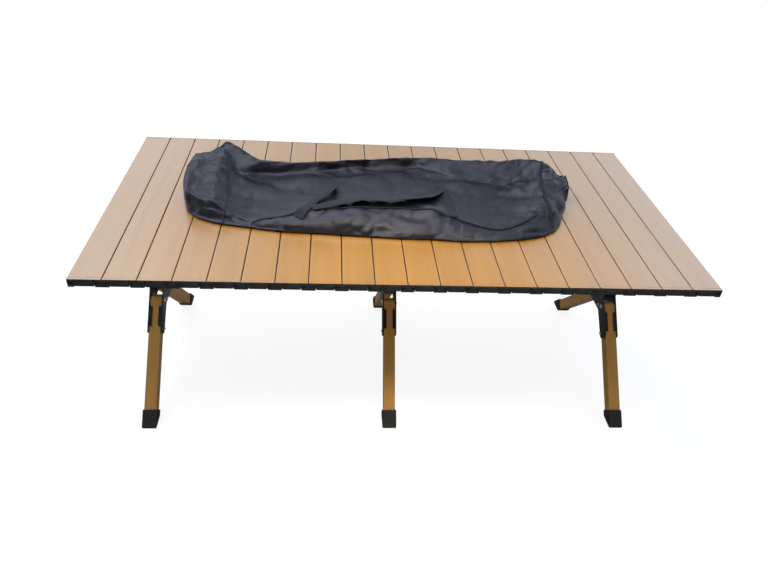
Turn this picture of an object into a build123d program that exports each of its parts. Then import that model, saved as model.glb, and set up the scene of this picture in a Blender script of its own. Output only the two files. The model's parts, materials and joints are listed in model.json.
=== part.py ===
"""Folding camp table with a roll-up slatted top, three folding leg stations and its carry bag.

Frame: X along the length, Y to the rear, Z up, origin on the floor under the middle of the top.
"""
from build123d import *
import os
from math import sqrt

os.makedirs("parts", exist_ok=True)

# ---- top -------------------------------------------------------------------------------------
TABLE_HEIGHT = 450.0
SLAT_COUNT = 20
SLAT_PITCH = 60.0
SLAT_GAP = 2.0
SLAT_THICK = 15.0
SLAT_WALL = 0.9
SLAT_EDGE_RADIUS = 1.0
PANEL_HALF_DEPTH = 300.0
CAP_FLANGE = 2.5
CAP_FLANGE_THIN = 2.2
CAP_DEPTH = 6.0
CAP_BOSS_WIDTH = 33.0
LINK_WIDTH = 26.0
LINK_TOP_DROP = 0.6
LINK_HANG = 1.6
CAP_CORNER = 1.6
HINGE_DROP = 1.0

# ---- frame -----------------------------------------------------------------------------------
STATION_SPACING = 535.0
STATIONS = {"left": -STATION_SPACING, "mid": 0.0, "right": STATION_SPACING}
HUB_HEIGHT = 228.0
LEG_TUBE = 26.0
LEG_WALL = 1.5
LEG_PIVOT = 43.0
LEG_END = 304.0
ARM_TOP_Y = 182.0
TUBE_PLUG = 20.0
PIN_RADIUS = 3.0
PIN_FIT = 0.05
HEAD_RADIUS = 5.0
HEAD_HEIGHT = 2.0
HEAD_TAPER = 25.0
STUD_TAPER = 20.0
DRAIN_RADIUS = 1.55

# ---- hub plates ------------------------------------------------------------------------------
PLATE_GAP = 0.3
PLATE_THICK = 2.5
PLATE_INNER_EDGE = 18.4
PLATE_LONG_ARM = 120.0
PLATE_SHORT_ARM = 75.0
PLATE_SKIRT = 47.0
PLATE_CORNER = 5.0
LIP_WIDTH = 6.0

# ---- feet ------------------------------------------------------------------------------------
FOOT_WIDTH = 32.0
FOOT_TOP = 292.0
FOOT_CORNER = 3.0
FOOT_SOLE_ROUND = 4.0

# ---- rails and connectors ----------------------------------------------------------------------
RAIL_TUBE = 20.0
RAIL_WALL = 1.4
RAIL_PIVOT_X = 30.0
RAIL_INNER_Y = 209.0
RAIL_SIDE_GAP = 0.6
RAIL_TOP = 434.5
CONNECTOR_TOP = 434.7
CONNECTOR_FOOT = 396.0
CHEEK_THICK = 3.0
WEB_HALF = 17.0
LUG_THICK = 3.0
LUG_GAP = 0.5
SADDLE_BACK_Y = 168.0
SADDLE_ROOF = 424.0

# ---- carry bag -------------------------------------------------------------------------------
BAG_LIFT = 0.3
BAG_BODY_HEIGHT = 74.0
BAG_DRAFT = 14.0
BAG_WALL = 3.0
BAG_VENT_RADIUS = 2.0

HALF = SLAT_PITCH / 2
PANEL_WIDTH = SLAT_PITCH - SLAT_GAP
PANEL_BOTTOM = TABLE_HEIGHT - SLAT_THICK
RAIL_Z = RAIL_TOP - RAIL_TUBE / 2
RAIL_OUTER_Y = RAIL_INNER_Y + RAIL_TUBE + RAIL_SIDE_GAP
RAIL_REACH = STATION_SPACING / 2 - RAIL_PIVOT_X
DIAGONAL = 1 / sqrt(2)
ARM_LENGTH = ARM_TOP_Y / DIAGONAL - LEG_PIVOT
ARM_TOP_Z = HUB_HEIGHT + ARM_TOP_Y
SIDES = {"front": -1.0, "rear": 1.0}


def save(part, name):
    """Label a finished piece and write it under its own name."""
    part.label = name
    export_step(part, f"parts/{name}.step")


# ---- slats ---------------------------------------------------------------------------------------
def make_block(x0, x1, ys, z0, z1, corner=0.0):
    """A block between given limits, with its four corners seen along Y cut back."""
    with BuildPart() as block:
        with BuildSketch(Plane.XZ.offset(-ys[1])):
            with Locations(((x0 + x1) / 2, (z0 + z1) / 2)):
                Rectangle(x1 - x0, z1 - z0)
            if corner > 0:
                chamfer(vertices(), corner)
        extrude(amount=ys[1] - ys[0])
    return block.part


def y_span(side, near, far):
    """Low and high Y of a stretch that lies between two distances from the middle."""
    return sorted((side * near, side * far))


def make_panel(x):
    """One hollow wood-look slat with a rib down its middle."""
    half_inner = PANEL_WIDTH / 2 - SLAT_WALL
    inner_height = SLAT_THICK - 2 * SLAT_WALL
    chamber = half_inner - SLAT_WALL / 2
    with BuildPart() as panel:
        with BuildSketch(Plane.XZ.offset(-PANEL_HALF_DEPTH)):
            with Locations((x, TABLE_HEIGHT - SLAT_THICK / 2)):
                RectangleRounded(PANEL_WIDTH, SLAT_THICK, SLAT_EDGE_RADIUS)
            middle = SLAT_WALL / 2 + chamber / 2
            centre_z = TABLE_HEIGHT - SLAT_THICK / 2
            with Locations((x - middle, centre_z), (x + middle, centre_z)):
                Rectangle(chamber, inner_height, mode=Mode.SUBTRACT)
        extrude(amount=2 * PANEL_HALF_DEPTH)
    return panel.part


def make_cap(x, side, first):
    """The moulded end of one slat: a flange over the panel end and a wide boss on it."""
    left = x - PANEL_WIDTH / 2
    right = x + PANEL_WIDTH / 2
    split = x - CAP_BOSS_WIDTH / 2
    thin = CAP_FLANGE if first else CAP_FLANGE_THIN
    flange_top = TABLE_HEIGHT - LINK_TOP_DROP
    thin_ys = y_span(side, PANEL_HALF_DEPTH, PANEL_HALF_DEPTH + thin)
    flange_ys = y_span(side, PANEL_HALF_DEPTH, PANEL_HALF_DEPTH + CAP_FLANGE)
    boss_ys = y_span(side, PANEL_HALF_DEPTH, PANEL_HALF_DEPTH + CAP_DEPTH)
    pieces = [
        make_block(left, split, thin_ys, PANEL_BOTTOM, flange_top),
        make_block(split, right, flange_ys, PANEL_BOTTOM, flange_top),
        make_block(split, split + CAP_BOSS_WIDTH, boss_ys, PANEL_BOTTOM, TABLE_HEIGHT, CAP_CORNER),
    ]
    with BuildPart() as cap:
        for piece in pieces:
            add(piece)
    return cap.part


def make_link(x0, x1, side):
    """A short chain link at the ends of two slats."""
    ys = y_span(side, PANEL_HALF_DEPTH + CAP_FLANGE, PANEL_HALF_DEPTH + CAP_DEPTH)
    bottom = PANEL_BOTTOM - LINK_HANG
    return make_block(x0, x1, ys, bottom, TABLE_HEIGHT - LINK_TOP_DROP, CAP_CORNER)


def make_hinge_link(joint, side):
    """A link with a round knuckle on the line that the next slat turns about."""
    low_y, high_y = y_span(side, PANEL_HALF_DEPTH + CAP_FLANGE, PANEL_HALF_DEPTH + CAP_DEPTH)
    with BuildPart() as link:
        add(make_link(joint - LINK_WIDTH / 2, joint + LINK_WIDTH / 2, side))
        with BuildSketch(Plane.XZ.offset(-high_y)):
            with Locations((joint, TABLE_HEIGHT - HINGE_DROP)):
                Circle(HINGE_DROP)
        extrude(amount=high_y - low_y)
    return link.part


def make_slat(index):
    """A slat with both end caps and the links that it carries to the next slat."""
    x = (index - (SLAT_COUNT + 1) / 2) * SLAT_PITCH
    first = index == 1
    last = index == SLAT_COUNT
    solids = [make_panel(x)]
    for side in SIDES.values():
        solids.append(make_cap(x, side, first))
        joint = x + HALF
        if last:
            solids.append(make_link(joint - LINK_WIDTH / 2, joint - SLAT_GAP / 2, side))
        else:
            solids.append(make_hinge_link(joint, side))
        if first:
            solids.append(make_link(x - HALF + SLAT_GAP / 2, x - HALF + LINK_WIDTH / 2, side))
    return Compound(children=solids)


for number in range(1, SLAT_COUNT + 1):
    save(make_slat(number), f"slat_{number:02d}")


# ---- leg stations --------------------------------------------------------------------------------
def tube_plane(x, side, vertical):
    """Plane on a hub arm: its X runs out along the arm and its normal runs along the table."""
    along = Vector(0, side * DIAGONAL, vertical * DIAGONAL)
    return Plane(origin=(x, 0, HUB_HEIGHT), x_dir=along, z_dir=(1, 0, 0))


def make_tube(x, side, vertical, end, rounded_end, holes):
    """A square tube that starts round its hub pivot, hollow past its end plug."""
    plane = tube_plane(x, side, vertical)
    half = LEG_TUBE / 2
    with BuildPart() as tube:
        with BuildSketch(plane.offset(-half)):
            with Locations(((LEG_PIVOT + end) / 2, 0)):
                Rectangle(end - LEG_PIVOT, LEG_TUBE)
            with Locations((LEG_PIVOT, 0)):
                Circle(half)
            if rounded_end:
                with Locations((end, 0)):
                    Circle(half)
        extrude(amount=LEG_TUBE)
        start = LEG_PIVOT + TUBE_PLUG
        finish = end - TUBE_PLUG if rounded_end else end
        bore = LEG_TUBE - 2 * LEG_WALL
        with BuildSketch(plane.offset(-bore / 2)):
            with Locations(((start + finish) / 2, 0)):
                Rectangle(finish - start, bore)
        extrude(amount=bore, mode=Mode.SUBTRACT)
        with BuildSketch(plane.offset(-half)):
            with Locations(*[(hole, 0) for hole in holes]):
                Circle(PIN_RADIUS + PIN_FIT)
        extrude(amount=LEG_TUBE, mode=Mode.SUBTRACT)
        if rounded_end:
            with BuildSketch(plane.offset(-half)):
                with Locations(((start + finish) / 2, 0)):
                    Circle(DRAIN_RADIUS)
            extrude(amount=LEG_WALL + half / 4, mode=Mode.SUBTRACT)
    return tube.part


def make_foot(x, side):
    """A rubber sleeve on the end of a leg, cut flat where it stands on the floor."""
    half = FOOT_WIDTH / 2
    rise = HUB_HEIGHT - FOOT_TOP * DIAGONAL
    shift = half * DIAGONAL
    toe = HUB_HEIGHT + 2 * shift
    heel = HUB_HEIGHT - 2 * shift
    outline = [
        (side * (HUB_HEIGHT - rise + shift), rise + shift),
        (side * (HUB_HEIGHT - rise - shift), rise - shift),
        (side * heel, 0),
        (side * toe, 0),
    ]
    with BuildPart() as foot:
        with BuildSketch(Plane.YZ.offset(x - half)):
            with BuildLine():
                Polyline(*outline, close=True)
            make_face()
            fillet(vertices().group_by(Axis.Y)[0], FOOT_SOLE_ROUND)
        extrude(amount=FOOT_WIDTH)
        slope = Axis((0, 0, 0), (0, side * DIAGONAL, -DIAGONAL))
        fillet(edges().filter_by(slope), FOOT_CORNER)
        with BuildSketch(tube_plane(x, side, -1).offset(-LEG_TUBE / 2)):
            with Locations(((FOOT_TOP + LEG_END) / 2, 0)):
                Rectangle(LEG_END - FOOT_TOP, LEG_TUBE)
        extrude(amount=LEG_TUBE, mode=Mode.SUBTRACT)
    return foot.part


def plate_outline():
    """Corner points of a hub plate about the crossing: (Y, Z), long arm on the front leg."""
    outer = LEG_TUBE / 2 + PLATE_GAP + PLATE_THICK

    def arm(along, across, y_sign, z_sign):
        y = y_sign * DIAGONAL * (along + across)
        return (y, z_sign * DIAGONAL * (along - across))

    valley = outer / DIAGONAL
    skirt_start = PLATE_SKIRT / DIAGONAL - PLATE_INNER_EDGE
    skirt_rear = PLATE_SKIRT + outer / DIAGONAL
    points = [
        (-valley, 0),
        arm(PLATE_LONG_ARM, outer, -1, -1),
        arm(PLATE_LONG_ARM, -PLATE_INNER_EDGE + PLATE_CORNER, -1, -1),
        arm(skirt_start, -PLATE_INNER_EDGE, -1, -1),
        (skirt_rear, -PLATE_SKIRT),
        (valley, 0),
        arm(PLATE_SHORT_ARM, outer, 1, 1),
        arm(PLATE_SHORT_ARM, -outer, 1, 1),
        (0, valley),
        arm(PLATE_SHORT_ARM, -outer, -1, 1),
        arm(PLATE_SHORT_ARM, outer, -1, 1),
    ]
    return points


HUB_PINS = [
    (y * LEG_PIVOT * DIAGONAL, z * LEG_PIVOT * DIAGONAL) for y in (-1, 1) for z in (-1, 1)
]
LIPS = [(-1, -1, 60, 105), (1, -1, 54, 76), (-1, 1, 50, 72), (1, 1, 50, 72)]
PLATE_STUDS = [(-15.0, -36.0), (-67.0, -85.0)]


def make_hub_plate(x, hand):
    """One pressed steel plate of a hub, with lips that stop the tubes at 45 degrees."""
    inner = LEG_TUBE / 2 + PLATE_GAP
    start = inner if hand > 0 else -inner - PLATE_THICK
    with BuildPart() as plate:
        with BuildSketch(Plane.YZ.offset(x + start)):
            with BuildLine():
                Polyline(*[(y, HUB_HEIGHT + z) for y, z in plate_outline()], close=True)
            make_face()
            fillet(vertices(), PLATE_CORNER)
        extrude(amount=PLATE_THICK)
        for side, vertical, lip_start, lip_end in LIPS:
            plane = tube_plane(x, side, vertical)
            across = inner + PLATE_THICK / 2
            if plane.y_dir.Z * vertical > 0:
                across = -across
            lip_edge = inner - LIP_WIDTH if hand > 0 else -inner - PLATE_THICK
            with BuildSketch(plane.offset(lip_edge)):
                with Locations(((lip_start + lip_end) / 2, across)):
                    Rectangle(lip_end - lip_start, PLATE_THICK)
            extrude(amount=LIP_WIDTH + PLATE_THICK)
        with BuildSketch(Plane.YZ.offset(x + start)):
            with Locations(*[(y, HUB_HEIGHT + z) for y, z in HUB_PINS]):
                Circle(PIN_RADIUS)
            with Locations((0, HUB_HEIGHT)):
                Circle(PIN_RADIUS)
        extrude(amount=PLATE_THICK, mode=Mode.SUBTRACT)
    return plate.part


def make_rivet(x, y, z):
    """A rivet right through a hub, headed on both plates."""
    reach = LEG_TUBE / 2 + PLATE_GAP + PLATE_THICK
    with BuildPart() as rivet:
        with BuildSketch(Plane.YZ.offset(x - reach)):
            with Locations((y, z)):
                Circle(PIN_RADIUS)
        extrude(amount=2 * reach)
        for base, amount in ((reach, HEAD_HEIGHT), (-reach, -HEAD_HEIGHT)):
            with BuildSketch(Plane.YZ.offset(x + base)):
                with Locations((y, z)):
                    Circle(HEAD_RADIUS)
            extrude(amount=amount, taper=HEAD_TAPER)
    return rivet.part


def make_studs(x):
    """Short rivet heads on the outside of both plates, below the front leg."""
    reach = LEG_TUBE / 2 + PLATE_GAP + PLATE_THICK
    studs = []
    for y, z in PLATE_STUDS:
        for base, amount in ((reach, HEAD_HEIGHT), (-reach, -HEAD_HEIGHT)):
            with BuildPart() as stud:
                with BuildSketch(Plane.YZ.offset(x + base)):
                    with Locations((y, HUB_HEIGHT + z)):
                        Circle(PIN_RADIUS)
                extrude(amount=amount, taper=STUD_TAPER)
            studs.append(stud.part)
    return studs


for station, station_x in STATIONS.items():
    for side_name, side in SIDES.items():
        leg = make_tube(station_x, side, -1, LEG_END, False, [LEG_PIVOT])
        save(leg, f"leg_{side_name}_{station}")
        save(make_foot(station_x, side), f"foot_{side_name}_{station}")
        top_pivot = LEG_PIVOT + ARM_LENGTH
        arm = make_tube(station_x, side, 1, top_pivot, True, [LEG_PIVOT, top_pivot])
        save(arm, f"arm_{side_name}_{station}")
    plates = [make_hub_plate(station_x, hand) for hand in (-1, 1)]
    save(Compound(children=plates), f"hub_{station}")
    rivets = [make_rivet(station_x, y, HUB_HEIGHT + z) for y, z in HUB_PINS + [(0, 0)]]
    save(Compound(children=rivets + make_studs(station_x)), f"rivets_{station}")


# ---- rails ---------------------------------------------------------------------------------------
def make_rail_half(station_x, toward, side, y_line, pinned):
    """Half of a rail from its station pivot to the knee, round at both ends."""
    near = station_x + toward * RAIL_PIVOT_X
    far = near + toward * RAIL_REACH
    low_y = side * y_line - RAIL_TUBE / 2
    middle = (near + far) / 2
    bore = RAIL_TUBE - 2 * RAIL_WALL
    with BuildPart() as rail:
        with BuildSketch(Plane.XZ.offset(-low_y - RAIL_TUBE)):
            with Locations((middle, RAIL_Z)):
                SlotCenterToCenter(RAIL_REACH, RAIL_TUBE)
            with Locations((near, RAIL_Z), (far, RAIL_Z)):
                Circle(PIN_RADIUS + PIN_FIT, mode=Mode.SUBTRACT)
        extrude(amount=RAIL_TUBE)
        with BuildSketch(Plane.XZ.offset(-low_y - RAIL_TUBE + RAIL_WALL)):
            with Locations((middle, RAIL_Z)):
                Rectangle(RAIL_REACH - 2 * TUBE_PLUG, bore)
        extrude(amount=bore, mode=Mode.SUBTRACT)
        with BuildSketch(Plane.XY.offset(RAIL_Z - RAIL_TUBE / 2)):
            with Locations((middle, side * y_line)):
                Circle(PIN_RADIUS)
        extrude(amount=2 * RAIL_WALL, mode=Mode.SUBTRACT)
    solids = [rail.part]
    if pinned:
        solids.append(make_knee_pin(far, side))
    return Compound(children=solids)


def pin_along_y(x, z, y_from, y_to, head_from=False, head_to=False):
    """A pin along Y between two faces, with a head past either of them."""
    low, high = min(y_from, y_to), max(y_from, y_to)
    with BuildPart() as pin:
        with BuildSketch(Plane.XZ.offset(-high)):
            with Locations((x, z)):
                Circle(PIN_RADIUS)
        extrude(amount=high - low)
        for y, wanted in ((y_from, head_from), (y_to, head_to)):
            if wanted:
                outward = -HEAD_HEIGHT if y == high else HEAD_HEIGHT
                with BuildSketch(Plane.XZ.offset(-y)):
                    with Locations((x, z)):
                        Circle(HEAD_RADIUS)
                extrude(amount=outward, taper=HEAD_TAPER)
    return pin.part


def make_knee_pin(x, side):
    """The rivet that joins both halves of a rail at its knee."""
    inner_face = side * (RAIL_INNER_Y - RAIL_TUBE / 2)
    outer_face = side * (RAIL_OUTER_Y + RAIL_TUBE / 2)
    return pin_along_y(x, RAIL_Z, inner_face, outer_face, True, True)


for side_name, side in SIDES.items():
    for span, toward in (("left", -1.0), ("right", 1.0)):
        inner = make_rail_half(0.0, toward, side, RAIL_INNER_Y, False)
        save(inner, f"rail_{side_name}_{span}_inner")
        outer = make_rail_half(STATIONS[span], -toward, side, RAIL_OUTER_Y, True)
        save(outer, f"rail_{side_name}_{span}_outer")


# ---- connectors ----------------------------------------------------------------------------------
def make_connector(station, station_x, side):
    """The moulded block that holds the top of one arm and the ends of the rails."""
    cheek_in = LEG_TUBE / 2 + PLATE_GAP
    cheek_out = cheek_in + CHEEK_THICK
    wall_y = RAIL_INNER_Y - RAIL_TUBE / 2 - LUG_GAP - LUG_THICK
    lug_radius = RAIL_TUBE / 2
    is_mid = station == "mid"
    towards = [-1.0, 1.0] if is_mid else [-1.0 if station == "right" else 1.0]
    if is_mid:
        lug_y = wall_y
        web_far = wall_y + LUG_THICK
    else:
        lug_y = RAIL_OUTER_Y + RAIL_TUBE / 2 + LUG_GAP
        web_far = lug_y + LUG_THICK
    saddle = y_span(side, SADDLE_BACK_Y, wall_y)
    web = y_span(side, wall_y, web_far)
    skirt = y_span(side, wall_y, wall_y + LUG_THICK)
    lug = y_span(side, lug_y, lug_y + LUG_THICK)
    web_foot = RAIL_Z - lug_radius
    left, right = station_x - cheek_out, station_x + cheek_out
    pieces = [
        make_block(left, left + CHEEK_THICK, saddle, CONNECTOR_FOOT, CONNECTOR_TOP),
        make_block(right - CHEEK_THICK, right, saddle, CONNECTOR_FOOT, CONNECTOR_TOP),
        make_block(left, right, saddle, SADDLE_ROOF, CONNECTOR_TOP),
        make_block(left, right, skirt, CONNECTOR_FOOT, web_foot),
        make_block(station_x - WEB_HALF, station_x + WEB_HALF, web, web_foot, CONNECTOR_TOP),
    ]
    with BuildPart() as block:
        for piece in pieces:
            add(piece)
        for toward in towards:
            pivot = station_x + toward * RAIL_PIVOT_X
            with BuildSketch(Plane.XZ.offset(-lug[1])):
                with Locations(((station_x + pivot) / 2, RAIL_Z)):
                    Rectangle(RAIL_PIVOT_X, RAIL_TUBE)
                with Locations((pivot, RAIL_Z)):
                    Circle(lug_radius)
            extrude(amount=LUG_THICK)
            with BuildSketch(Plane.XZ.offset(-lug[1])):
                with Locations((pivot, RAIL_Z)):
                    Circle(PIN_RADIUS)
            extrude(amount=LUG_THICK, mode=Mode.SUBTRACT)
        with BuildSketch(Plane.YZ.offset(station_x - cheek_out)):
            with Locations((side * ARM_TOP_Y, ARM_TOP_Z)):
                Circle(PIN_RADIUS)
        extrude(amount=2 * cheek_out, mode=Mode.SUBTRACT)
    solids = [block.part]
    with BuildPart() as arm_pin:
        with BuildSketch(Plane.YZ.offset(station_x - cheek_out)):
            with Locations((side * ARM_TOP_Y, ARM_TOP_Z)):
                Circle(PIN_RADIUS)
        extrude(amount=2 * cheek_out)
        for base, amount in ((cheek_out, HEAD_HEIGHT), (-cheek_out, -HEAD_HEIGHT)):
            with BuildSketch(Plane.YZ.offset(station_x + base)):
                with Locations((side * ARM_TOP_Y, ARM_TOP_Z)):
                    Circle(HEAD_RADIUS)
            extrude(amount=amount, taper=HEAD_TAPER)
    solids.append(arm_pin.part)
    for toward in towards:
        pivot = station_x + toward * RAIL_PIVOT_X
        if is_mid:
            ends = (side * lug_y, side * (RAIL_INNER_Y + RAIL_TUBE / 2))
        else:
            ends = (side * (lug_y + LUG_THICK), side * (RAIL_OUTER_Y - RAIL_TUBE / 2))
        solids.append(pin_along_y(pivot, RAIL_Z, *ends))
    return Compound(children=solids)


for station, station_x in STATIONS.items():
    for side_name, side in SIDES.items():
        save(make_connector(station, station_x, side), f"connector_{side_name}_{station}")


# ---- carry bag -------------------------------------------------------------------------------
BAG_OUTLINE = [
    (-300, -126),
    (-60, -155),
    (180, -162),
    (300, -134),
    (350, -56),
    (398, 100),
    (372, 190),
    (250, 178),
    (0, 160),
    (-290, 150),
    (-392, 214),
    (-445, 150),
    (-452, 60),
    (-412, -96),
]

with BuildPart() as bag:
    with BuildSketch(Plane.XY.offset(TABLE_HEIGHT + BAG_LIFT)):
        with BuildLine():
            Polyline(*BAG_OUTLINE, close=True)
        make_face()
    extrude(amount=BAG_BODY_HEIGHT, taper=BAG_DRAFT)
    with BuildSketch(Plane.XY.offset(TABLE_HEIGHT + BAG_LIFT + BAG_WALL)):
        with BuildLine():
            Polyline(*BAG_OUTLINE, close=True)
        make_face()
        offset(amount=-2 * BAG_WALL, mode=Mode.REPLACE)
    extrude(amount=BAG_BODY_HEIGHT - 2 * BAG_WALL, taper=BAG_DRAFT, mode=Mode.SUBTRACT)
    with BuildSketch(Plane.XY.offset(TABLE_HEIGHT + BAG_LIFT)):
        Circle(BAG_VENT_RADIUS)
    extrude(amount=BAG_WALL, mode=Mode.SUBTRACT)
save(bag.part, "carry_bag")
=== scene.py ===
"""Looks of the folding camp table: slatted top, black edge chain, leg stations, rails and carry bag."""
import json
import math

import bmesh
import bpy
from mathutils import Matrix, Vector, noise


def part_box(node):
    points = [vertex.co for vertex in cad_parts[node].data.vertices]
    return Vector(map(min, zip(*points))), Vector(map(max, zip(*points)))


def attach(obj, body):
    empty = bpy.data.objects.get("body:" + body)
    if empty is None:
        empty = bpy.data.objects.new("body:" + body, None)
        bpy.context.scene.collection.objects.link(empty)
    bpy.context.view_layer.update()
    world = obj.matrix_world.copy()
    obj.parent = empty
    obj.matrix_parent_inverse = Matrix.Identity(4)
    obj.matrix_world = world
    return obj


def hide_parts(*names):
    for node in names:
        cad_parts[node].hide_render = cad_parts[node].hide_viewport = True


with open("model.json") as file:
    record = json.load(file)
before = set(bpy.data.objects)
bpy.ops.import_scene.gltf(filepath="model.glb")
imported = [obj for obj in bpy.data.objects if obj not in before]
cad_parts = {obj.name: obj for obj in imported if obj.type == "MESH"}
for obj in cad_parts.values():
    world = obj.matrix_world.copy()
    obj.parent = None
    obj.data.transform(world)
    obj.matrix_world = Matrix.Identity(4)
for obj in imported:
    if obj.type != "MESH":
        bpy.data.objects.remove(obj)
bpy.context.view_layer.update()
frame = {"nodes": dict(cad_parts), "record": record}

MM = 0.001
scene = bpy.context.scene

# ---- places read from the frame ----------------------------------------------------------------
SLATS = sorted(name for name in frame["nodes"] if name.startswith("slat_"))
BODY_OF = {
    node: body
    for body, nodes in frame["record"]["behaviour"]["bodies"].items()
    for node in nodes
}
SLAT_LOW, SLAT_HIGH = (Vector(corner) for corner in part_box(SLATS[9]))
TOP_Z = SLAT_HIGH.z
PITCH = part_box(SLATS[10])[0][0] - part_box(SLATS[9])[0][0]
SLAT_THICK = 15 * MM
CAP_DEPTH = 6 * MM
LINK_HANG = TOP_Z - SLAT_LOW.z - SLAT_THICK
EDGE_Y = SLAT_HIGH.y
PANEL_Y = EDGE_Y - CAP_DEPTH
GAP = 2 * MM
HALF_SLAT = PITCH / 2 - GAP / 2
BAG_LOW, BAG_HIGH = (Vector(corner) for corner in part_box("carry_bag"))


# ---- mesh helpers --------------------------------------------------------------------------------
def new_piece(name, bm, material, body, smooth_angle=None):
    """Turn a bmesh into a named piece with a material and a body to ride on."""
    mesh = bpy.data.meshes.new(name)
    bmesh.ops.recalc_face_normals(bm, faces=bm.faces)
    bm.to_mesh(mesh)
    bm.free()
    piece = bpy.data.objects.new(name, mesh)
    scene.collection.objects.link(piece)
    mesh.materials.append(material)
    if smooth_angle is not None:
        mesh.shade_smooth()
        mesh.set_sharp_from_angle(angle=math.radians(smooth_angle))
    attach(piece, body)
    return piece


def add_prism(bm, outline, low, high):
    """Extrude a closed (x, z) outline along Y and return the points of its two ends."""
    near = [bm.verts.new(Vector((x, low, z))) for x, z in outline]
    far = [bm.verts.new(Vector((x, high, z))) for x, z in outline]
    count = len(outline)
    bm.faces.new(near)
    bm.faces.new(list(reversed(far)))
    for index in range(count):
        following = (index + 1) % count
        bm.faces.new((near[following], near[index], far[index], far[following]))
    return near, far


def rounded_outline(x0, x1, z0, z1, radius, steps=3):
    """A rectangle with rounded corners as points in order."""
    points = []
    corners = (
        (x1 - radius, z1 - radius, 0),
        (x0 + radius, z1 - radius, 90),
        (x0 + radius, z0 + radius, 180),
        (x1 - radius, z0 + radius, 270),
    )
    for cx, cz, start in corners:
        for step in range(steps + 1):
            angle = math.radians(start + 90 * step / steps)
            points.append((cx + radius * math.cos(angle), cz + radius * math.sin(angle)))
    return points


def bevel_rim(bm, verts, width):
    """Round the rim of one end face."""
    rim = [edge for edge in bm.edges if edge.verts[0] in verts and edge.verts[1] in verts]
    bmesh.ops.bevel(bm, geom=rim, offset=width, segments=2, affect="EDGES", profile=0.6, clamp_overlap=True)


# ---- materials -----------------------------------------------------------------------------------
class Shader:
    """A small builder for a Principled material."""

    def __init__(self, name, color, roughness, metallic=0.0, **sockets):
        self.material = bpy.data.materials.new(name)
        self.material.use_nodes = True
        self.tree = self.material.node_tree
        self.bsdf = self.tree.nodes["Principled BSDF"]
        self.bsdf.inputs["Base Color"].default_value = (*color, 1)
        self.bsdf.inputs["Roughness"].default_value = roughness
        self.bsdf.inputs["Metallic"].default_value = metallic
        for socket, value in sockets.items():
            self.bsdf.inputs[socket.replace("_", " ")].default_value = value
        self.coords = self.tree.nodes.new("ShaderNodeTexCoord")

    def node(self, kind, **values):
        """A new node with its settings, or the values of its inputs."""
        made = self.tree.nodes.new(kind)
        for key, value in values.items():
            if hasattr(made, key):
                setattr(made, key, value)
            else:
                made.inputs[key].default_value = value
        return made

    def link(self, source, target):
        """Join an output to an input."""
        self.tree.links.new(source, target)

    def mapped(self, scale=(1, 1, 1)):
        """The object's own coordinates, stretched."""
        mapping = self.node("ShaderNodeMapping")
        mapping.inputs["Scale"].default_value = scale
        self.link(self.coords.outputs["Object"], mapping.inputs["Vector"])
        return mapping.outputs["Vector"]

    def noise(self, vector, scale, detail, rough):
        """Noise between 0 and 1."""
        made = self.node("ShaderNodeTexNoise")
        made.inputs["Scale"].default_value = scale
        made.inputs["Detail"].default_value = detail
        made.inputs["Roughness"].default_value = rough
        self.link(vector, made.inputs["Vector"])
        return made.outputs["Fac"]

    def ramp(self, factor, stops):
        """A colour from a factor, by (position, colour) stops."""
        made = self.node("ShaderNodeValToRGB")
        elements = made.color_ramp.elements
        while len(elements) < len(stops):
            elements.new(0.5)
        for element, (position, color) in zip(elements, stops):
            element.position = position
            element.color = (*color, 1)
        self.link(factor, made.inputs["Fac"])
        return made.outputs["Color"]

    def bump(self, height, strength, distance, before=None):
        """A bumped normal, on top of an earlier one if given."""
        made = self.node("ShaderNodeBump")
        made.inputs["Strength"].default_value = strength
        made.inputs["Distance"].default_value = distance
        self.link(height, made.inputs["Height"])
        if before is not None:
            self.link(before, made.inputs["Normal"])
        return made.outputs["Normal"]

    def roughness_from(self, factor, low, high):
        """Let a factor drive the roughness between two values."""
        made = self.node("ShaderNodeMapRange")
        made.inputs["To Min"].default_value = low
        made.inputs["To Max"].default_value = high
        self.link(factor, made.inputs["Value"])
        self.link(made.outputs["Result"], self.bsdf.inputs["Roughness"])


def shade(color, factor):
    """A colour made lighter or darker."""
    return tuple(min(1.0, channel * factor) for channel in color)


def make_wood_look(name, color, stretch, coat, coat_ior, roughness):
    """Wood-grain film: long streaks, fine pores and a satin coat."""
    coat_values = {"Coat_Weight": coat, "Coat_Roughness": 0.24, "Coat_IOR": coat_ior}
    made = Shader(name, color, roughness, Specular_IOR_Level=0.4, **coat_values)
    streaks = made.noise(made.mapped(stretch), 1.0, 6.0, 0.62)
    pores_scale = tuple(value * 9 for value in stretch)
    pores = made.noise(made.mapped(pores_scale), 1.0, 3.0, 0.7)
    broad = made.noise(made.mapped((9.0, 1.2, 9.0)), 1.0, 2.0, 0.5)
    stops = [(0.25, shade(color, 0.84)), (0.5, color), (0.8, shade(color, 1.1))]
    grain = made.ramp(streaks, stops)
    tone = made.ramp(broad, [(0.3, (0.93, 0.92, 0.90)), (0.7, (1.0, 1.0, 1.0))])
    mix = made.node("ShaderNodeMixRGB", blend_type="MULTIPLY")
    mix.inputs["Fac"].default_value = 1.0
    made.link(grain, mix.inputs["Color1"])
    made.link(tone, mix.inputs["Color2"])
    made.link(mix.outputs["Color"], made.bsdf.inputs["Base Color"])
    made.roughness_from(pores, roughness - 0.06, roughness + 0.1)
    fine = made.bump(pores, 0.25, 0.0003)
    made.link(made.bump(streaks, 0.2, 0.0005, fine), made.bsdf.inputs["Normal"])
    return made.material


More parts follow.
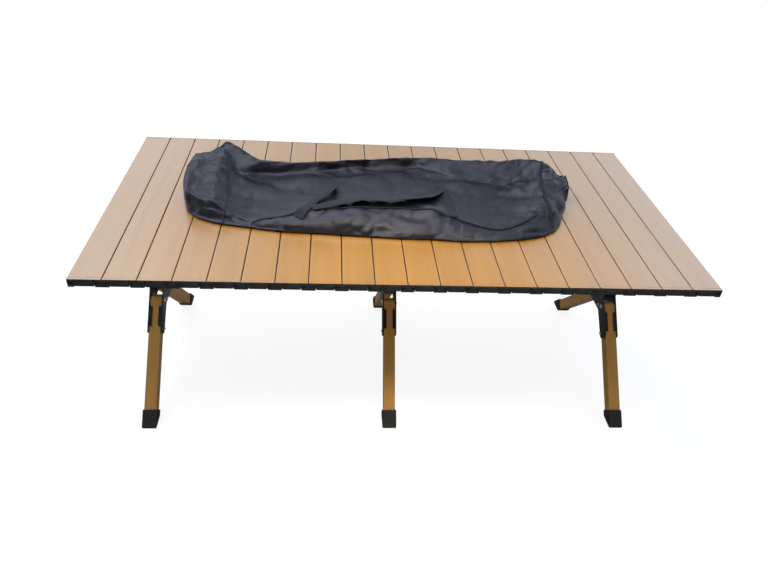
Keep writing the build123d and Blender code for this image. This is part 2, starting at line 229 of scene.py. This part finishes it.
def make_moulded(name, color, roughness, grain=900.0, strength=0.25):
    """Moulded or powder-coated surface: fine stipple, uneven gloss and lighter and darker patches at random.
    """
    made = Shader(name, color, roughness, Specular_IOR_Level=0.35)
    stipple = made.noise(made.mapped(), grain, 2.0, 0.6)
    cloud = made.noise(made.mapped(), 28.0, 4.0, 0.55)
    stops = [(0.35, shade(color, 0.8)), (0.62, color), (0.85, shade(color, 1.5))]
    made.link(made.ramp(cloud, stops), made.bsdf.inputs["Base Color"])
    made.roughness_from(cloud, roughness - 0.1, roughness + 0.12)
    made.link(made.bump(stipple, strength, 0.0002), made.bsdf.inputs["Normal"])
    return made.material


def make_metal(name, color, roughness):
    """Bare bright metal with faint brushing."""
    made = Shader(name, color, roughness, metallic=1.0)
    brush = made.noise(made.mapped((40.0, 900.0, 900.0)), 1.0, 2.0, 0.6)
    made.roughness_from(brush, roughness - 0.08, roughness + 0.15)
    made.link(made.bump(brush, 0.15, 0.0001), made.bsdf.inputs["Normal"])
    return made.material


def make_weave(name, color, lit, pitch, strength, roughness, sheen):
    """Woven polyester: crossing threads as bump, broad colour variation and sheen."""
    made = Shader(name, color, roughness, Sheen_Weight=sheen, Sheen_Roughness=0.4, Specular_IOR_Level=0.58)
    made.bsdf.inputs["Sheen Tint"].default_value = (*lit, 1)
    made.bsdf.inputs["Specular Tint"].default_value = CLOTH_SHINE
    waves = []
    for direction in ("X", "Y"):
        wave = made.node("ShaderNodeTexWave", wave_type="BANDS", bands_direction=direction)
        wave.inputs["Scale"].default_value = math.pi / (10 * pitch)
        wave.inputs["Distortion"].default_value = 0.6
        made.link(made.coords.outputs["Object"], wave.inputs["Vector"])
        waves.append(wave.outputs["Fac"])
    both = made.node("ShaderNodeMath", operation="MULTIPLY")
    made.link(waves[0], both.inputs[0])
    made.link(waves[1], both.inputs[1])
    cloud = made.noise(made.mapped(), 22.0, 5.0, 0.6)
    crease = made.noise(made.mapped((30.0, 55.0, 30.0)), 1.0, 5.0, 0.6)
    stops = [(0.3, shade(color, 0.75)), (0.55, color), (0.8, shade(color, 1.45))]
    made.link(made.ramp(cloud, stops), made.bsdf.inputs["Base Color"])
    made.roughness_from(cloud, roughness - 0.06, roughness + 0.1)
    threads = made.bump(both.outputs["Value"], strength, 0.0003)
    made.link(made.bump(crease, 0.28, 0.003, threads), made.bsdf.inputs["Normal"])
    return made.material


SLAT_COLOR = (0.47, 0.222, 0.026)
LEG_COLOR = (0.42, 0.215, 0.042)
BLACK = (0.010, 0.0095, 0.010)
STEEL_BLACK = (0.010, 0.0098, 0.010)
FOOT_BLACK = (0.009, 0.0085, 0.0085)
BLOCK_BLACK = (0.013, 0.013, 0.0135)
RAIL_BLACK = (0.012, 0.012, 0.0125)
BRIGHT = (0.62, 0.61, 0.59)
CLOTH_COLOR = (0.0050, 0.0048, 0.0058)
CLOTH_LIT = (0.40, 0.44, 0.8)
CLOTH_SHINE = (0.74, 0.76, 1.0, 1)
WEBBING_COLOR = (0.0035, 0.0035, 0.0045)
WEBBING_LIT = (0.4, 0.42, 0.5)
TOP_GRAIN = (70.0, 2.2, 70.0)
LEG_GRAIN = (60.0, 6.0, 6.0)
wood_top = make_wood_look("wood_look_film", SLAT_COLOR, TOP_GRAIN, 1.0, 3.0, 0.36)
wood_leg = make_wood_look("wood_look_leg", LEG_COLOR, LEG_GRAIN, 0.12, 1.5, 0.46)
black_edge = make_moulded("edge_black", BLACK, 0.42)
black_foot = make_moulded("foot_black", FOOT_BLACK, 0.6, 700.0, 0.4)
black_steel = make_moulded("hub_black", STEEL_BLACK, 0.36, 1400.0, 0.15)
black_block = make_moulded("connector_black", BLOCK_BLACK, 0.5)
black_rail = make_moulded("rail_black", RAIL_BLACK, 0.34, 1400.0, 0.12)
bright_rivet = make_metal("rivet_bright", BRIGHT, 0.3)
bag_cloth = make_weave("bag_cloth", CLOTH_COLOR, CLOTH_LIT, 1.1 * MM, 0.5, 0.34, 0.06)
webbing = make_weave("bag_webbing", WEBBING_COLOR, WEBBING_LIT, 1.6 * MM, 0.9, 0.7, 0.05)


# ---- slatted top ---------------------------------------------------------------------------------
SLAT_ROUND = 1.1 * MM
LIP_THICK = 0.5 * MM
LIP_ROUND = 0.24 * MM
LIP_START = PANEL_Y - MM
LIP_END = EDGE_Y - 0.7 * MM
STRIP_LAP = MM
STRIP_SHORT = 0.35 * MM
STRIP_BOTTOM = TOP_Z - 13 * MM
STRIP_TOP = TOP_Z - 3.2 * MM
STRIP_ROUND = 0.3 * MM


def make_panel(node, center_x, lift, tilt):
    """One slat's wood-look section with rounded edges, and the thin lip that covers its end caps."""
    low_x, high_x = center_x - HALF_SLAT, center_x + HALF_SLAT
    outline = rounded_outline(low_x, high_x, TOP_Z - SLAT_THICK, TOP_Z, SLAT_ROUND, 4)
    bm = bmesh.new()
    add_prism(bm, outline, -PANEL_Y, PANEL_Y)
    lip = rounded_outline(low_x, high_x, TOP_Z - LIP_THICK, TOP_Z, LIP_ROUND, 2)
    for side in (-1, 1):
        add_prism(bm, lip, *sorted((side * LIP_START, side * LIP_END)))
    turn = Matrix.Translation((center_x, 0, TOP_Z)) @ Matrix.Rotation(tilt, 4, "Y")
    turn = turn @ Matrix.Translation((-center_x, 0, -TOP_Z + lift))
    bmesh.ops.transform(bm, matrix=turn, verts=bm.verts)
    number = node.split("_")[1]
    piece = new_piece(f"slat_panel_{number}", bm, wood_top, BODY_OF[node], 5)
    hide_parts(node)


def make_joint_strip(node, center_x):
    """The dark strip in the gap between a slat and the next one."""
    edge_x = center_x + HALF_SLAT
    low_x, high_x = edge_x - STRIP_LAP, edge_x + GAP - STRIP_SHORT
    outline = rounded_outline(low_x, high_x, STRIP_BOTTOM, STRIP_TOP, STRIP_ROUND, 1)
    bm = bmesh.new()
    add_prism(bm, outline, -PANEL_Y, PANEL_Y)
    name = "joint_strip_" + node.split("_")[1]
    new_piece(name, bm, black_edge, BODY_OF[node], 30)


def add_edge_block(bm, x0, x1, z0, z1, y0, y1, corner):
    """One moulded block of the edge chain, its outer rim rounded."""
    part = bmesh.new()
    outline = rounded_outline(x0, x1, z0, z1, corner, 3)
    near, far = add_prism(part, outline, y0, y1)
    rim = near if abs(y0) > abs(y1) else far
    bevel_rim(part, set(rim), BLOCK_BEVEL)
    bmesh.ops.recalc_face_normals(part, faces=part.faces)
    mesh = bpy.data.meshes.new("scratch")
    part.to_mesh(mesh)
    part.free()
    bm.from_mesh(mesh)
    bpy.data.meshes.remove(mesh)


def add_disc(bm, center, radius, depth, outward, sides=20):
    """A shallow pin head facing along Y; the centre is (x, z, y)."""
    ring = []
    for k in range(sides):
        angle = 2 * math.pi * k / sides
        ring.append((center[0] + radius * math.cos(angle), center[1] + radius * math.sin(angle)))
    y0, y1 = center[2], center[2] + outward * depth
    add_prism(bm, ring, min(y0, y1), max(y0, y1))


BOSS_HALF = 16.5 * MM
LINK_HALF = 13.0 * MM
FLANGE = 2.5 * MM
FLANGE_SHORT = 0.3 * MM
FLANGE_ROUND = 0.5 * MM
BLOCK_ROUND = 2.0 * MM
BLOCK_BEVEL = 0.7 * MM
FLANGE_DROP = 0.7 * MM
BOSS_DROP = 0.55 * MM
LINK_DROP = 0.65 * MM
PIN_HEAD = 1.9 * MM
PIN_DEPTH = 0.3 * MM
PIN_INSET = 4.5 * MM
PIN_DROP = 8 * MM


def make_edge(node, center_x, side, lift, first, last):
    """The end cap of a slat and the chain links that it carries."""
    bm = bmesh.new()
    bottom = TOP_Z - SLAT_THICK

    def span(near, far):
        return sorted((side * near, side * far))

    def block(x0, x1, z0, drop, depths, corner):
        add_edge_block(bm, x0, x1, z0, TOP_Z - drop, *depths, corner)

    thin = span(PANEL_Y, PANEL_Y + FLANGE - FLANGE_SHORT)
    block(center_x - HALF_SLAT, center_x + HALF_SLAT, bottom, FLANGE_DROP, thin, FLANGE_ROUND)
    boss = span(PANEL_Y, EDGE_Y)
    block(center_x - BOSS_HALF, center_x + BOSS_HALF, bottom, BOSS_DROP - lift, boss, BLOCK_ROUND)
    joint = center_x + PITCH / 2
    spans = [(joint - LINK_HALF, joint - GAP / 2 if last else joint + LINK_HALF)]
    if first:
        spans.append((center_x - PITCH / 2 + GAP / 2, center_x - PITCH / 2 + LINK_HALF))
    link = span(PANEL_Y + FLANGE, EDGE_Y)
    for x0, x1 in spans:
        block(x0, x1, bottom - LINK_HANG, LINK_DROP, link, BLOCK_ROUND)
        for pin_x in (x0 + PIN_INSET, x1 - PIN_INSET):
            pin_center = (pin_x, TOP_Z - PIN_DROP, side * (EDGE_Y - PIN_DEPTH))
            add_disc(bm, pin_center, PIN_HEAD, PIN_DEPTH, side)
    number = node.split("_")[1]
    side_name = "front" if side < 0 else "rear"
    new_piece(f"edge_{side_name}_{number}", bm, black_edge, BODY_OF[node], 35)


# small height offsets of the slats, in millimetres, as a laid-out chain of slats shows
LIFTS = (
    0.0, 0.1, 0.0, 0.2, 0.35, -0.2, 0.0, 0.1, 0.15, 0.0,
    0.1, 0.2, 0.0, 0.1, 0.0, 0.15, 0.1, 0.0, 0.1, 0.0,
)
LIFT_BASE = 0.3
TILT_DEGREES = 0.125
LAST = len(SLATS) - 1
for index, node in enumerate(SLATS):
    center = (index - LAST / 2) * PITCH
    lift = (LIFTS[index] - LIFT_BASE) * MM
    tilt = math.radians(TILT_DEGREES * math.sin(2.3 * index + 0.7))
    make_panel(node, center, lift / 2, tilt)
    for side in (-1, 1):
        make_edge(node, center, side, min(lift, 0.0), index == 0, index == LAST)
for index, node in enumerate(SLATS[:-1]):
    make_joint_strip(node, (index - LAST / 2) * PITCH)


# ---- frame: CAD pieces keep their shape and get their finish ---------------------------------
FINISHES = {
    "leg": wood_leg,
    "arm": wood_leg,
    "hub": black_steel,
    "rivets": bright_rivet,
    "connector": black_block,
    "rail": black_rail,
    "foot": black_foot,
}
for name, obj in frame["nodes"].items():
    finish = FINISHES.get(name.split("_")[0])
    if finish is not None:
        obj.data.materials.clear()
        obj.data.materials.append(finish)


# ---- carry bag -----------------------------------------------------------------------------------
# Cross-sections along the bag, in millimetres; z is above the top:
# x, front edge y, front crease (y, z), hollow z, rear fold (y, z), rear crest (y, z), rear edge y
BAG_SECTIONS = (
    (-449, -18, -8, 42, 49, 40, 51, 74, 48, 100),
    (-438, -62, -50, 46, 53, 50, 56, 98, 58, 142),
    (-412, -94, -70, 44, 48, 70, 52, 118, 54, 172),
    (-380, -110, -80, 42, 50, 60, 54, 138, 73, 205),
    (-350, -118, -96, 30, 30, 72, 34, 128, 64, 190),
    (-305, -127, -109, 14, 17, 84, 20, 100, 47, 158),
    (-240, -139, -116, 24, 17, 84, 22, 98, 44, 152),
    (-180, -142, -104, 38, 20, 90, 24, 106, 44, 156),
    (-100, -148, -96, 42, 22, 112, 25, 122, 44, 168),
    (-20, -154, -92, 43, 22, 122, 26, 133, 45, 176),
    (60, -155, -97, 42, 22, 126, 26, 142, 46, 184),
    (100, -160, -106, 36, 20, 110, 25, 142, 47, 184),
    (130, -162, -124, 24, 17, 92, 24, 138, 47, 182),
    (190, -158, -133, 15, 14, 72, 22, 128, 47, 176),
    (248, -148, -100, 22, 15, 70, 22, 120, 48, 170),
    (296, -133, -66, 36, 28, 78, 34, 124, 58, 178),
    (326, -114, -40, 46, 44, 80, 50, 112, 66, 182),
    (356, -60, -14, 44, 50, 62, 55, 88, 58, 166),
    (380, 10, 26, 32, 38, 62, 40, 80, 40, 130),
    (389, 22, 32, 38, 44, 62, 47, 82, 40, 108),
)
FOLD_SOFTNESS = 0.14
LOOP_SOFTNESS = 0.3
LARGE_FACET = 74
SMALL_FACET = 37
END_START = 230
END_SPAN = 120
END_FADE = 22.0
REST_FADE = 8.0


def catmull(values, position):
    """Smooth value at a fractional index of an evenly numbered list."""
    last = len(values) - 1
    index = min(max(int(position), 0), last - 1)
    t = position - index
    p0 = values[max(index - 1, 0)]
    p1, p2 = values[index], values[index + 1]
    p3 = values[min(index + 2, last)]
    square = (2 * p0 - 5 * p1 + 4 * p2 - p3) * t * t
    cube = (3 * p1 - p0 - 3 * p2 + p3) * t ** 3
    return 0.5 * (2 * p1 + (p2 - p0) * t + square + cube)


def folded(values, position, soften):
    """Straight stretches between a list's values, with each corner a little rounded."""
    last = len(values) - 1
    total = 0.0
    for shift in (-1.0, -0.5, 0.0, 0.5, 1.0):
        place = min(max(position + shift * soften, 0.0), last - 0.0001)
        index = int(place)
        total += values[index] + (values[index + 1] - values[index]) * (place - index)
    return total / 5


def section_at(x):
    """Every cross-section value at one place along the bag."""
    stations = [row[0] for row in BAG_SECTIONS]
    index = max(k for k in range(len(stations) - 1) if stations[k] <= x)
    position = index + (x - stations[index]) / (stations[index + 1] - stations[index])
    columns = [[row[column] for row in BAG_SECTIONS] for column in range(1, 10)]
    return [folded(column, position, FOLD_SOFTNESS) for column in columns]


def section_loop(x):
    """Closed loop of (y, z) control points round the bag at x, from the front edge over the top."""
    front, crease_y, crease_z, hollow, fold_y, fold_z, crest_y, crest_z, rear = section_at(x)
    middle = (crease_y + fold_y) / 2
    return [
        (front + 6, 0.6),
        (front, 5),
        (front + 0.35 * (crease_y - front), 0.62 * crease_z),
        (crease_y - 3, crease_z - 1.0),
        (crease_y + 4, crease_z - 0.5),
        (crease_y + 0.35 * (middle - crease_y), 0.55 * crease_z + 0.45 * hollow),
        (middle, hollow),
        (middle + 0.6 * (fold_y - middle), 0.6 * fold_z + 0.4 * hollow),
        (fold_y - 2, fold_z - 1),
        (fold_y + 3, fold_z + 2),
        (crest_y - 4, crest_z - 3),
        (crest_y, crest_z),
        (crest_y + 0.35 * (rear - crest_y), 0.82 * crest_z),
        (crest_y + 0.8 * (rear - crest_y), 0.4 * crest_z),
        (rear, 5),
        (rear - 6, 0.6),
        (front + 0.66 * (rear - front), 0.6),
        (front + 0.33 * (rear - front), 0.6),
    ]


def fold_loop(points, count):
    """A closed loop of creased stretches resampled to evenly numbered points."""
    total = len(points)
    turned = points[-2:] + points + points[:3]
    columns = [[point[k] for point in turned] for k in range(2)]
    places = [2 + total * step / count for step in range(count)]
    return [tuple(folded(column, place, LOOP_SOFTNESS) for column in columns) for place in places]


def crease(point, size):
    """Facets with sharp lines between them, 0 on a line and about 1 inside a facet."""
    distances = noise.voronoi(Vector(point) / size)[0]
    return min(1.0, (distances[1] - distances[0]) * 1.6)


def wrinkle(point):
    """How far the cloth stands in or out here: soft folds, then creased facets, larger at the ends."""
    x, y, z = point
    end = min(1.0, max(0.0, (abs(x + 30) - END_START) / END_SPAN))
    folds = noise.noise(Vector((x * 0.008, y * 0.03 + x * 0.012, z * 0.03)))
    bent = noise.noise(Vector((x * 0.012, y * 0.012, 4))) * 30
    large = crease((x * 0.55 + bent, y * 1.1 + x * 0.22, z * 1.2), LARGE_FACET)
    small = crease((x * 0.8 - bent, y * 1.25 - x * 0.35, z * 1.1 + 9), SMALL_FACET)
    fine = noise.noise(Vector((x * 0.07, y * 0.08, z * 0.08 + 3)))
    soft = folds * (2.0 + 1.0 * end)
    facets = (large - 0.55) * (6.0 + 4.0 * end)
    small_facets = (small - 0.5) * (2.6 + 2.6 * end)
    return soft + facets + small_facets + fine * 0.5


def make_bag():
    """The empty bag as one closed crumpled shell."""
    stations, around = 260, 128
    low_x, high_x = BAG_SECTIONS[0][0], BAG_SECTIONS[-1][0] - 0.01
    base = BAG_LOW.z
    bm = bmesh.new()
    rings = []
    for station in range(stations + 1):
        x = low_x + (high_x - low_x) * station / stations
        loop = fold_loop(section_loop(x), around)
        rings.append([bm.verts.new((x * MM, y * MM, base + max(z, 0.4) * MM)) for y, z in loop])
    for near, far in zip(rings, rings[1:]):
        for k in range(around):
            following = (k + 1) % around
            bm.faces.new((near[k], near[following], far[following], far[k]))
    bm.faces.new(list(reversed(rings[0])))
    bm.faces.new(rings[-1])
    bmesh.ops.triangulate(bm, faces=[face for face in bm.faces if len(face.verts) > 4])
    bmesh.ops.recalc_face_normals(bm, faces=bm.faces)
    bm.normal_update()
    moves = {}
    for vert in bm.verts:
        height = (vert.co.z - base) / MM
        inside = min(vert.co.x / MM - low_x, high_x - vert.co.x / MM)
        grip = min(1.0, max(0.0, (height - 1.0) / REST_FADE), inside / END_FADE)
        moves[vert] = vert.normal * (wrinkle(vert.co / MM) * grip * MM)
    for vert, move in moves.items():
        vert.co += move
        vert.co.z = min(max(vert.co.z, base + 0.3 * MM), BAG_HIGH.z + 4 * MM)
    piece = new_piece("bag_shell", bm, bag_cloth, "carry_bag", 180)
    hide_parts("carry_bag")
    return piece


bag_shell = make_bag()
bpy.context.view_layer.update()


def drop_on_bag(x, y):
    """Height of the bag's cloth under a point, in millimetres above the top."""
    start = Vector((x * MM, y * MM, BAG_HIGH.z + 100 * MM))
    hit, location, _, _ = bag_shell.ray_cast(start, Vector((0, 0, -1)))
    return (location.z - BAG_LOW.z) / MM if hit else 0.0


STRAP_THICK = 1.6 * MM
STRAP_PROFILE = ((-1, -0.5), (-0.94, -1), (0.94, -1), (1, -0.5), (1, 0.5), (0.94, 1), (-0.94, 1), (-1, 0.5))
STRAP_OVER = 1.0


def make_strap(name, path, width_at, lean_at, steps=60):
    """A webbing strap along given points (x, y, height over the cloth)."""
    bm = bmesh.new()
    rows = []
    columns = [[point[k] for point in path] for k in range(3)]
    points = []
    for step in range(steps + 1):
        position = (len(path) - 1) * step / steps
        x, y, over = (catmull(column, min(position, len(path) - 1.0001)) for column in columns)
        points.append(Vector((x, y, drop_on_bag(x, y) + over)))
    for _ in range(3):
        smoothed = [points[0]]
        for before, point, after in zip(points, points[1:], points[2:]):
            mean_z = (before.z + point.z + after.z) / 3
            least_z = drop_on_bag(point.x, point.y) + STRAP_OVER
            smoothed.append(Vector((point.x, point.y, max(mean_z, least_z))))
        points = smoothed + [points[-1]]
    for step, point in enumerate(points):
        fraction = step / steps
        before, after = points[max(step - 1, 0)], points[min(step + 1, steps)]
        along = (after - before).normalized()
        lean = math.radians(lean_at(fraction))
        flat = along.cross(Vector((0, 0, 1))).normalized()
        across = (flat * math.cos(lean) + Vector((0, 0, 1)) * math.sin(lean)).normalized()
        face_normal = across.cross(along).normalized()
        half = width_at(fraction) / 2
        center = point * MM + Vector((0, 0, BAG_LOW.z))
        ring = []
        for u, v in STRAP_PROFILE:
            corner = center + across * (u * half * MM) + face_normal * (v * STRAP_THICK / 2)
            ring.append(bm.verts.new(corner))
        rows.append(ring)
    sides = len(STRAP_PROFILE)
    for near, far in zip(rows, rows[1:]):
        for k in range(sides):
            following = (k + 1) % sides
            bm.faces.new((near[k], near[following], far[following], far[k]))
    bm.faces.new(list(reversed(rows[0])))
    bm.faces.new(rows[-1])
    new_piece(name, bm, webbing, "carry_bag", 50)


def lens(fraction, ends, middle):
    """Wide in the middle and narrow at both ends."""
    return ends + (middle - ends) * math.sin(math.pi * fraction) ** 0.8


def no_lean(fraction):
    """A strap that lies flat all along."""
    return 0.0


SEAM_WIDTH = 3.2
ZIP_WIDTH = 7.0
HANDLE_END_WIDTH = 30.0
make_strap(
    "bag_handle_loop",
    ((-178, -104, 4), (-130, -82, 6), (-70, -66, 8), (0, -62, 9), (52, -30, 8), (86, 6, 5), (96, 20, 3)),
    lambda f: lens(f, 14, 44),
    lambda f: 24 * math.sin(math.pi * f),
)
make_strap(
    "bag_handle_right_end",
    ((84, 18, 3), (100, 8, 2), (104, -30, 1.5), (104, -70, 1.5), (103, -112, 1.5)),
    lambda f: HANDLE_END_WIDTH,
    no_lean,
)
make_strap(
    "bag_handle_left_end",
    ((-208, -118, 1.5), (-190, -92, 3), (-168, -50, 6), (-140, -2, 9), (-128, 22, 5)),
    lambda f: 26 - 12 * f,
    lambda f: 35 * f,
)
make_strap(
    "bag_seam_front",
    (
        (-300, -113, 0.4), (-150, -101, 0.4), (0, -94, 0.4),
        (110, -110, 0.4), (210, -128, 0.4), (290, -84, 0.4),
    ),
    lambda f: SEAM_WIDTH,
    no_lean,
    90,
)
make_strap(
    "bag_seam_left",
    ((-356, -112, 0.4), (-352, -60, 0.4), (-356, 0, 0.4), (-366, 60, 0.4), (-378, 118, 0.4)),
    lambda f: SEAM_WIDTH,
    no_lean,
)
make_strap(
    "bag_zip",
    ((322, -104, 0.5), (318, -50, 0.5), (322, 10, 0.5), (332, 70, 0.5), (344, 116, 0.5)),
    lambda f: ZIP_WIDTH,
    no_lean,
)


# ---- floor, lights and camera --------------------------------------------------------------------
FLOOR_BOUNCE = (0.30, 0.29, 0.28)
FLOOR_SEEN = (0.22, 0.22, 0.22)
FLOOR_GLOW = 0.86
FLOOR_HALF = 12.0
WORLD_FRONT = 0.16
WORLD_REAR = 1.08
SKY_TINT = (0.88, 0.98, 1.14, 1)
# direction of a dark patch of wall behind the table, which the middle of the slats mirrors
DARK_WALL = (0.07, 0.72, 0.69)
DARK_WALL_ANGLES = (25, 11)
DARK_WALL_LEVEL = 0.05
SKY_AXIS = (-0.12, 0.8, 0.55)
CAMERA_PLACE = (-0.1455, -1.2701, 1.1444)
CAMERA_YAW, CAMERA_PITCH, CAMERA_ROLL = 0.1051, 0.6274, 0.0784
CAMERA_LENS = 30.94


def make_floor():
    """A plain pale floor that the camera sees as white apart from the shadow."""
    mesh = bpy.data.meshes.new("floor")
    corners = [(x * FLOOR_HALF, y * FLOOR_HALF, 0) for x, y in ((-1, -1), (1, -1), (1, 1), (-1, 1))]
    mesh.from_pydata(corners, [], [(0, 1, 2, 3)])
    floor = bpy.data.objects.new("floor", mesh)
    scene.collection.objects.link(floor)
    made = Shader("floor_pale", (0.9, 0.9, 0.9), 0.9, Specular_IOR_Level=0.1)
    rays = made.node("ShaderNodeLightPath")
    tone = made.node("ShaderNodeMixRGB")
    tone.inputs["Color1"].default_value = (*FLOOR_BOUNCE, 1)
    tone.inputs["Color2"].default_value = (*FLOOR_SEEN, 1)
    made.link(rays.outputs["Is Camera Ray"], tone.inputs["Fac"])
    made.link(tone.outputs["Color"], made.bsdf.inputs["Base Color"])
    glow = made.node("ShaderNodeMapRange")
    glow.inputs["To Max"].default_value = FLOOR_GLOW
    made.link(rays.outputs["Is Camera Ray"], glow.inputs["Value"])
    made.link(glow.outputs["Result"], made.bsdf.inputs["Emission Strength"])
    made.bsdf.inputs["Emission Color"].default_value = (1, 1, 1, 1)
    mesh.materials.append(made.material)


def aim(obj, target):
    """Turn a lamp towards a point."""
    obj.rotation_euler = (Vector(target) - obj.location).to_track_quat("-Z", "Y").to_euler()


def add_area(name, place, target, size, power, color=(1, 1, 1), spread=180):
    """A rectangular lamp at a place, turned to a target; the spread is in degrees."""
    data = bpy.data.lights.new(name, "AREA")
    data.shape = "RECTANGLE"
    data.size, data.size_y = size
    data.energy = power
    data.color = color
    data.spread = math.radians(spread)
    lamp = bpy.data.objects.new(name, data)
    lamp.location = place
    scene.collection.objects.link(lamp)
    aim(lamp, target)


def make_world():
    """White for the camera; as light it is bright behind the table, with one dark patch, and dim in front."""
    world = bpy.data.worlds.new("studio")
    world.use_nodes = True
    scene.world = world
    tree = world.node_tree
    background = tree.nodes["Background"]
    direction = tree.nodes.new("ShaderNodeTexCoord")

    def toward(axis, low, high, away_value, near_value):
        """A value that changes smoothly as the direction turns towards an axis."""
        dot = tree.nodes.new("ShaderNodeVectorMath")
        dot.operation = "DOT_PRODUCT"
        dot.inputs[1].default_value = axis
        tree.links.new(direction.outputs["Generated"], dot.inputs[0])
        made = tree.nodes.new("ShaderNodeMapRange")
        made.interpolation_type = "SMOOTHSTEP"
        made.inputs["From Min"].default_value = low
        made.inputs["From Max"].default_value = high
        made.inputs["To Min"].default_value = away_value
        made.inputs["To Max"].default_value = near_value
        tree.links.new(dot.outputs["Value"], made.inputs["Value"])
        return made.outputs["Result"]

    sky = toward(SKY_AXIS, -0.35, 0.7, WORLD_FRONT, WORLD_REAR)
    patch_edge, patch_core = (math.cos(math.radians(angle)) for angle in DARK_WALL_ANGLES)
    patch = toward(DARK_WALL, patch_edge, patch_core, 1.0, DARK_WALL_LEVEL)
    dimmed = tree.nodes.new("ShaderNodeMath")
    dimmed.operation = "MULTIPLY"
    tree.links.new(sky, dimmed.inputs[0])
    tree.links.new(patch, dimmed.inputs[1])
    rays = tree.nodes.new("ShaderNodeLightPath")
    seen = tree.nodes.new("ShaderNodeMix")
    seen.inputs["B"].default_value = 1.0
    tree.links.new(rays.outputs["Is Camera Ray"], seen.inputs["Factor"])
    tint = tree.nodes.new("ShaderNodeMixRGB")
    tint.inputs["Color1"].default_value = SKY_TINT
    tint.inputs["Color2"].default_value = (1, 1, 1, 1)
    tree.links.new(rays.outputs["Is Camera Ray"], tint.inputs["Fac"])
    tree.links.new(tint.outputs["Color"], background.inputs["Color"])
    tree.links.new(dimmed.outputs["Value"], seen.inputs["A"])
    tree.links.new(seen.outputs["Result"], background.inputs["Strength"])


def make_camera():
    """The viewpoint: above the front, a little left of the middle."""
    data = bpy.data.cameras.new("camera")
    data.sensor_width = 36.0
    data.lens = CAMERA_LENS
    camera = bpy.data.objects.new("camera", data)
    scene.collection.objects.link(camera)
    yaw, pitch, roll = CAMERA_YAW, CAMERA_PITCH, CAMERA_ROLL
    level_part = math.cos(pitch)
    forward = Vector((math.sin(yaw) * level_part, math.cos(yaw) * level_part, -math.sin(pitch)))
    level = Vector((math.cos(yaw), -math.sin(yaw), 0))
    upward = level.cross(forward)
    right = level * math.cos(roll) + upward * math.sin(roll)
    top = upward * math.cos(roll) - level * math.sin(roll)
    turn = Matrix((right, top, -forward)).transposed()
    camera.matrix_world = Matrix.Translation(CAMERA_PLACE) @ turn.to_4x4()
    scene.camera = camera


make_floor()
make_world()
make_camera()
add_area("key", (-0.9, 0.6, 2.9), (0, 0, 0.4), (2.4, 1.8), 40)
add_area("warm_front", (-0.05, -0.75, 1.75), (0.0, -0.27, 0.45), (0.4, 0.25), 1.1, (1.0, 0.84, 0.56), 40)
add_area("leg_fill", (0.3, -2.3, 0.3), (0, 0, 0.2), (2.2, 0.3), 15, (1.0, 0.97, 0.93))
scene.view_settings.view_transform = "Standard"
